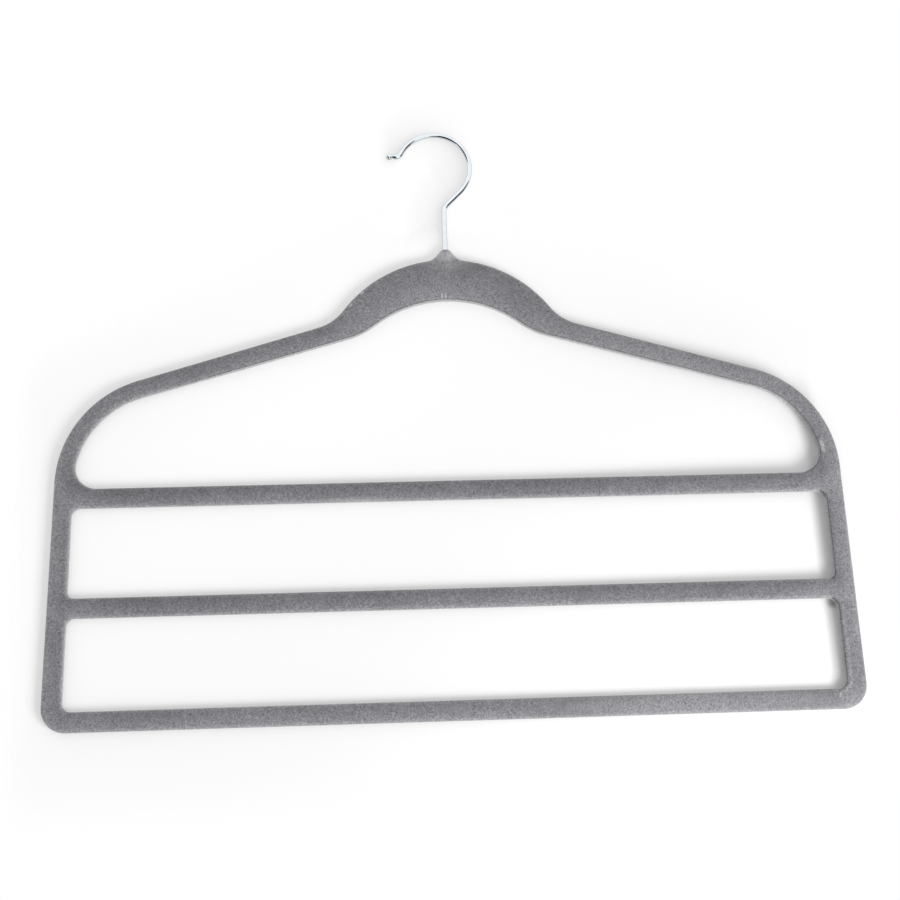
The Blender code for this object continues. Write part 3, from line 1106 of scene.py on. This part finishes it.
def nearest_points(places: Array, edge: Array) -> Array:
    """Index of the point of an edge that is nearest to each place.

    Args:
        places: Rows of (x, z).
        edge: Rows of (x, z).

    Returns:
        Index of a row of the edge for each place.
    """
    tree = kdtree.KDTree(len(edge))
    for i, (x, z) in enumerate(edge):
        tree.insert((x, z, 0), i)
    tree.balance()
    return np.array([tree.find((x, z, 0))[1] for x, z in places])


def distances(places: Array, edge: Array) -> Array:
    """Distance of each place to the nearest point of an edge."""
    return np.hypot(*(edge[nearest_points(places, edge)] - places).T)


def face_triangles(rings: list[Array], grid: Array) -> Array:
    """Triangles of a face between its edges and over the places inside it.

    Args:
        rings: Edges of the face, as loops of (x, z) rows.
        grid: Places inside it.

    Returns:
        Rows of three indices, into the rings' points and then the grid's, counter-clockwise.
    """
    edges = []
    start = 0
    for ring in rings:
        count = len(ring)
        edges += [(start + i, start + (i + 1) % count) for i in range(count)]
        start += count
    places = np.vstack([*rings, grid])
    corners = [Vector(p) for p in places.tolist()]
    found = delaunay_2d_cdt(corners, edges, [], TRIANGULATE_INSIDE, TRIANGULATE_EPSILON)
    triangles = np.array([[found[3][i][0] for i in face] for face in found[2]])
    middles = places[triangles].mean(axis=1)
    return triangles[inside_rings(middles, rings)]


def inside_rings(places: Array, rings: list[Array]) -> Array:
    """Whether each place lies within an odd number of closed rings, all given as (x, z) rows.

    Args:
        places: Rows of (x, z).
        rings: Closed rings, as rows of (x, z).

    Returns:
        Whether each place is inside.
    """
    inside = np.zeros(len(places), bool)
    order = np.argsort(places[:, 1])
    heights = places[order, 1]
    for ring in rings:
        after = np.roll(ring, -1, axis=0)
        for (x0, z0), (x1, z1) in zip(ring, after):
            if z0 == z1:
                continue
            first, last = np.searchsorted(heights, (min(z0, z1), max(z0, z1)))
            level = order[first:last]
            cut = x0 + (places[level, 1] - z0) / (z1 - z0) * (x1 - x0)
            inside[level] ^= places[level, 0] > cut
    return inside


def turned(name: str, profile: list[tuple[float, float]], steps: int) -> Object:
    """Closed solid turned about Z.

    Args:
        name: Name of the object.
        profile: (radius, height) points that run down the outside, from axis to axis.
        steps: Sides of the solid.

    Returns:
        The object, with its mesh made.
    """
    edges = [(i, i + 1) for i in range(len(profile) - 1)]
    made = mesh_object(name, [(radius, 0, height) for radius, height in profile], [], edges)
    screw = made.modifiers.new("turn", "SCREW")
    screw.axis = "Z"
    screw.steps = steps
    screw.render_steps = steps
    screw.use_merge_vertices = True
    screw.merge_threshold = MERGE_DISTANCE
    apply_modifiers(made)
    orient(made)
    return made


@dataclass
class SwivelHook:
    """Bright wire hook: tail, shank, bend, loop and the beaded tip."""

    nub_top: float
    wire_radius: float = 1.4 * MM
    inside_diameter: float = 40.3 * MM
    offset: float = 5.4 * MM
    start_deg: float = -45
    end_deg: float = 154
    shank_bend: float = 8 * MM
    shank_step: float = 2 * MM
    tip_turn_radius: float = 2.8 * MM
    tip_length: float = 2.7 * MM
    tip_bead_radius: float = 1.8 * MM
    tip_groove_depth: float = 0.45 * MM
    tail_length: float = 17 * MM
    tail_chamfer: float = 0.5 * MM
    ring_depth: float = 6.6 * MM
    ring_groove_depth: float = 0.55 * MM
    ring_groove_half: float = 0.7 * MM
    arc_step: float = 0.45 * MM
    bevel_resolution: int = 7
    bead_steps: int = 14
    shoulder_step: float = 0.02 * MM

    def path(self) -> list[tuple[Vector, float]]:
        """Centre line of the wire from its lower end to the tip, as (x, z) points and radii.

        Returns:
            Points in order, each with its radius.
        """
        wire = self.wire_radius
        loop_radius = self.inside_diameter / 2 + wire
        centre = Vector((-self.offset, -sqrt((self.inside_diameter / 2) ** 2 - self.offset**2)))
        start = radians(self.start_deg)
        end = radians(self.end_deg)
        lean = start + pi / 2
        meeting = centre + loop_radius * Vector((cos(start), sin(start)))
        slant = (meeting.x - self.shank_bend * (1 - sin(lean))) * tan(lean)
        bend_z = meeting.y - slant - self.shank_bend * cos(lean)
        bend_centre = Vector((self.shank_bend, bend_z))
        bend = arc_points(bend_centre, self.shank_bend, pi, pi / 2 - start, self.arc_step)
        loop = arc_points(centre, loop_radius, start, end, self.arc_step)
        away = Vector((cos(end), sin(end)))
        tip_centre = loop[-1] + self.tip_turn_radius * away
        tip_bend = arc_points(tip_centre, self.tip_turn_radius, end - pi, -pi / 2, self.arc_step)
        tail = self.nub_top - self.tail_length
        ring = self.nub_top - self.ring_depth
        groove = wire - self.ring_groove_depth
        low = ring - self.ring_groove_half
        high = ring + self.ring_groove_half
        upright = [(tail, wire - self.tail_chamfer), (tail + self.tail_chamfer, wire)]
        upright += [(low - self.shoulder_step, wire), (low, groove)]
        upright += [(high, groove), (high + self.shoulder_step, wire)]
        upright += [(float(z), wire) for z in np.arange(self.nub_top, bend_z, self.shank_step)]
        path = [(Vector((0, z)), radius) for z, radius in upright]
        path += [(point, wire) for point in bend + loop[1:] + tip_bend[1:]]
        return path + self.tip(tip_bend[-1])

    def tip(self, start: Vector) -> list[tuple[Vector, float]]:
        """Straight end of the wire: a shallow groove and then a round bead.

        Args:
            start: Where the straight end begins.

        Returns:
            Points in order, each with its radius.
        """
        groove = start.x - self.tip_length
        bead = groove - self.tip_bead_radius
        stem = self.wire_radius - self.tip_groove_depth
        points = [
            (Vector((groove + 2 * self.tip_groove_depth, start.y)), self.wire_radius),
            (Vector((groove + self.tip_groove_depth, start.y)), stem),
        ]
        first = asin(stem / self.tip_bead_radius)
        for i in range(self.bead_steps + 1):
            angle = first + (pi - first) * i / self.bead_steps
            place = Vector((bead + self.tip_bead_radius * cos(angle), start.y))
            points.append((place, max(self.tip_bead_radius * sin(angle), self.shoulder_step)))
        return points

    def build(self) -> Object:
        """Build and dress the hook, and put it in place of its solid.

        Returns:
            The hook's object.
        """
        curve = bpy.data.curves.new("chromed_hook", "CURVE")
        curve.dimensions = "3D"
        path = self.path()
        spline = curve.splines.new("POLY")
        spline.points.add(len(path) - 1)
        for target, (place, radius) in zip(spline.points, path):
            target.co = (place.x, 0, place.y, 1)
            target.radius = radius / self.wire_radius
        curve.bevel_depth = self.wire_radius
        curve.bevel_resolution = self.bevel_resolution
        curve.use_fill_caps = True
        drawn = placed("hook_curve", curve)
        mesh = baked(drawn)
        bpy.data.objects.remove(drawn)
        made = placed("chromed_hook", mesh)
        reshape(mesh, lambda shape: bmesh.ops.remove_doubles(shape, verts=shape.verts, dist=MERGE_DISTANCE))
        mesh.materials.clear()
        dress(made, CHROME.material())
        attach(made, Body.HOOK.value)
        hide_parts("swivel_hook")
        return made


@dataclass
class RetainingRing:
    """Split ring in the groove of the shank, shown as its own solid."""

    node: str = "retaining_ring"

    def build(self) -> Object:
        """Give the ring its finish.

        Returns:
            The ring's object.
        """
        ring = frame["nodes"][self.node]
        ring.data.materials.clear()
        ring.data.materials.append(STEEL.material())
        return ring


@dataclass(frozen=True)
class DarkCard:
    """Dark patch of the room that only gloss shows: an ellipse around a direction."""

    azimuth_deg: float
    elevation_deg: float
    half_width: float
    half_height: float
    edge: Span = (0.85, 1.15)

    def cover(self, graph: Graph, direction: Socket) -> Socket:
        """How much the card covers a direction, from 0 to 1.

        Args:
            graph: The world's tree.
            direction: Direction of the ray.

        Returns:
            The share that is covered.
        """
        azimuth = radians(self.azimuth_deg)
        elevation = radians(self.elevation_deg)
        right = Vector((cos(azimuth), sin(azimuth), 0))
        level = Vector((sin(azimuth), -cos(azimuth), 0))
        centre = level * cos(elevation) + Vector((0, 0, sin(elevation)))
        across = graph.dot(direction, tuple(right))
        up = graph.dot(direction, tuple(centre.cross(right)))
        inside = graph.fall(graph.ellipse((across, self.half_width), (up, self.half_height)), self.edge)
        return graph.times(inside, graph.math("GREATER_THAN", graph.dot(direction, tuple(centre)), 0.0))


@dataclass
class Board:
    """White board that the hanger lies against, with soft ends, painted shadow by the right rail, and an
    opening where the hook turns.
    """

    depth: float
    half: float = 0.45
    middle: float = -0.2
    steps: int = 60
    bow: float = 3.8 * MM
    bow_side: Span = (0.02, 0.22)
    bow_rise: Span = (-0.34, -0.2)
    bow_low: float = 0.15
    sides: Span = (0.228, 0.25)
    foot: Span = (-0.4, -0.35)
    top: Span = (-0.062, -0.012)
    top_slope: float = 0.45
    hook_side: Span = (0.03, 0.04)
    hook_foot: Span = (-0.076, -0.054)
    hook_shade: float = 0.7
    hook_shade_reach: float = 22 * MM
    hook_shade_way: Place = (0.85, -0.35, -0.35)
    hook_shade_samples: int = 16
    white: Span = (1.04, 0.9)
    white_fall: Span = (0.0, 0.33)
    rail_shade: float = 0.24
    rail_start: Span = (0.2045, 0.2105)
    rail_end: Span = (0.2145, 0.222)
    rail_top: Span = (-0.17, -0.145)
    rail_foot: Span = (-0.342, -0.334)
    rail_lean: float = 0.17
    rail_lean_foot: float = -0.204
    corner_shade: float = 0.5
    corner_place: Place = (212.4 * MM, 4.3 * MM, -283.2 * MM)
    corner_reach: Span = (1 * MM, 5 * MM)

    def whiteness(self, graph: Graph, place: Socket) -> Socket:
        """Tone of the paint: lower near the key lamp, with painted shadow beside the right rail and in the
        corner by it.

        Args:
            graph: The material's tree.
            place: Place on the board.

        Returns:
            The tone.
        """
        x, _, z = graph.node("ShaderNodeSeparateXYZ", {0: place}).outputs
        white = graph.ramp(graph.math("SUBTRACT", x, z), self.white_fall, *self.white)
        risen = graph.math("MAXIMUM", graph.math("SUBTRACT", z, self.rail_lean_foot), 0.0)
        inset = graph.plus(x, graph.times(risen, self.rail_lean))
        # Painted shadow on the board beside the right rail's inner side, leaning with the shoulder above
        # it.
        painted_rail_shadow = graph.times(
            graph.ramp(inset, self.rail_start, 0.0, self.rail_shade),
            graph.fall(inset, self.rail_end),
            graph.fall(z, self.rail_top),
            graph.ramp(z, self.rail_foot),
        )
        # Painted shadow in the corner under the middle bar at the right rail.
        apart = graph.vector_math("DISTANCE", place, self.corner_place)["Value"]
        painted_corner_shadow = graph.ramp(apart, self.corner_reach, self.corner_shade, 0.0)
        return graph.times(white, graph.rest(painted_rail_shadow), graph.rest(painted_corner_shadow))

    def material(self) -> Material:
        """White paint that shows shadows from the front, and the hook's soft shade where it is open.

        Returns:
            The material.
        """
        made = bpy.data.materials.new("white_board")
        graph = Graph(made)
        place = graph.object_place()
        x, _, z = graph.node("ShaderNodeSeparateXYZ", {0: place}).outputs
        side = graph.math("ABSOLUTE", x)
        front = graph.rest(graph.node("ShaderNodeNewGeometry").outputs["Backfacing"])
        turning = graph.times(graph.fall(side, self.hook_side), graph.ramp(z, self.hook_foot))
        near = graph.times(
            graph.fall(side, self.sides),
            graph.ramp(z, self.foot),
            graph.fall(graph.plus(z, graph.times(side, self.top_slope)), self.top),
            graph.rest(turning),
            front,
        )
        way = graph.vector_math("NORMALIZE", self.hook_shade_way)[0]
        inputs = {"Distance": self.hook_shade_reach, "Normal": way}
        around = graph.node("ShaderNodeAmbientOcclusion", inputs, samples=self.hook_shade_samples)
        shade = graph.times(graph.rest(around.outputs["AO"]), self.hook_shade, front, turning)
        light = graph.math("SUBTRACT", 1.0, shade, clamp=True)
        clear = graph.node("ShaderNodeBsdfTransparent", {"Color": light})
        paint = graph.node("ShaderNodeBsdfDiffuse", {"Color": self.whiteness(graph, place)})
        mix = graph.node("ShaderNodeMixShader", {0: near, 1: clear.outputs[0], 2: paint.outputs[0]})
        graph.node("ShaderNodeOutputMaterial", {"Surface": mix.outputs[0]})
        return made

    def build(self) -> None:
        """Make the board, upright and bowed away behind the frame's right shoulder."""
        steps = self.steps
        line = np.linspace(-self.half, self.half, steps + 1)
        x, z = (grid.ravel() for grid in np.meshgrid(line, line + self.middle))
        rise = self.bow_low + (1 - self.bow_low) * smooth_step(z, *self.bow_rise)
        bow = self.bow * smooth_step(x, *self.bow_side) * rise
        points = np.stack([x, self.depth + bow, z], axis=1)
        start = (np.arange(steps)[:, None] * (steps + 1) + np.arange(steps)).ravel()
        corners = np.stack([start, start + 1, start + steps + 2, start + steps + 1], axis=1)
        made = mesh_object("board", points.tolist(), corners.tolist())
        made.data.shade_smooth()
        made.data.materials.append(self.material())
        for kind in ("diffuse", "glossy", "transmission", "volume_scatter", "shadow"):
            setattr(made, f"visible_{kind}", False)


@dataclass
class Studio:
    """Camera, lamps, white surroundings and the board."""

    lens: float = 50.0
    sensor: float = 36.0
    clip_start: float = 0.01
    camera_place: Place = (-31.23 * MM, -693.25 * MM, -342.31 * MM)
    camera_turn_deg: Place = (102.265, 1.765, -2.126)
    key_place: Place = (0.45, -0.45, -0.65)
    key_power: float = 3.3
    back_place: Place = (-0.6, 0.9, 0.3)
    back_power: float = 6.0
    lamp_aim: Place = (0.0, 0.0, -0.2)
    lamp_size: float = 0.35
    fill: float = 0.75
    frame_back: float = 2.5 * MM
    board_gap: float = 0.15 * MM
    room_depth: Span = (0.1, 0.6)
    room_behind: float = 0.52
    card_tone: float = 0.03
    cards: tuple[DarkCard, ...] = (
        DarkCard(-48, -60, 0.44, 0.62),
        DarkCard(-27, -25, 0.28, 0.52),
        DarkCard(-58, -3, 0.54, 0.34),
        DarkCard(64, -16, 0.5, 0.36),
        DarkCard(99, -24, 0.16, 0.15),
    )

    def camera(self) -> None:
        """Camera at the photograph's place."""
        data = bpy.data.cameras.new("camera")
        data.lens = self.lens
        data.sensor_width = self.sensor
        data.clip_start = self.clip_start
        made = placed("camera", data)
        made.location = self.camera_place
        made.rotation_euler = [radians(a) for a in self.camera_turn_deg]
        bpy.context.scene.camera = made

    def lamp(self, name: str, place: Place, power: float) -> None:
        """Square lamp that faces the frame's middle.

        Args:
            name: Name of the lamp.
            place: Where it stands.
            power: Its power in watts.
        """
        data = bpy.data.lights.new(name, "AREA")
        data.size = self.lamp_size
        data.energy = power
        made = placed(name, data)
        made.location = place
        aim = Vector(self.lamp_aim) - Vector(place)
        made.rotation_euler = aim.to_track_quat("-Z", "Y").to_euler()
        made.visible_glossy = False
        made.visible_camera = False

    def world(self) -> None:
        """White surroundings for the camera, a room for gloss and a plain fill for everything else."""
        made = bpy.data.worlds.new("surroundings")
        bpy.context.scene.world = made
        graph = Graph(made)
        rays = graph.node("ShaderNodeLightPath").outputs
        seen = graph.math("MAXIMUM", rays["Is Camera Ray"], rays["Is Transmission Ray"])
        strength = graph.plus(graph.times(seen, 1.0 - self.fill), self.fill)
        more = graph.math("SUBTRACT", self.room(graph), self.fill)
        strength = graph.plus(strength, graph.times(rays["Is Glossy Ray"], more))
        background = graph.node("ShaderNodeBackground", {"Color": WHITE, "Strength": strength})
        graph.node("ShaderNodeOutputWorld", {"Surface": background.outputs[0]})

    def room(self, graph: Graph) -> Socket:
        """Brightness of the room that gloss shows: white ahead, grey behind, and its dark cards.

        Args:
            graph: The world's tree.

        Returns:
            The brightness.
        """
        direction = graph.node("ShaderNodeTexCoord").outputs["Generated"]
        depth = graph.node("ShaderNodeSeparateXYZ", {0: direction}).outputs[1]
        bright = graph.ramp(depth, self.room_depth, 1.0, self.room_behind)
        for card in self.cards:
            shown = graph.math("MAXIMUM", graph.rest(card.cover(graph, direction)), self.card_tone)
            bright = graph.times(bright, shown)
        return bright

    def build(self) -> None:
        """Set up the camera, the light and the board."""
        bpy.context.scene.view_settings.view_transform = "Standard"
        self.camera()
        self.world()
        self.lamp("key", self.key_place, self.key_power)
        self.lamp("back", self.back_place, self.back_power)
        Board(self.frame_back + self.board_gap).build()


def main() -> None:
    """Build the studio and the hanger's pieces in order, and report each piece."""
    logging.basicConfig(level=logging.INFO, format="%(name)s %(message)s")
    nub_top = frame["joints"][0]["pos_m"][2]
    Studio().build()
    for part in (FlockedFrame(nub_top), SwivelHook(nub_top), RetainingRing()):
        piece = part.build()
        LOG.info("%s: %d faces", piece.name, len(piece.data.polygons))


if __name__ == "__main__":
    main()
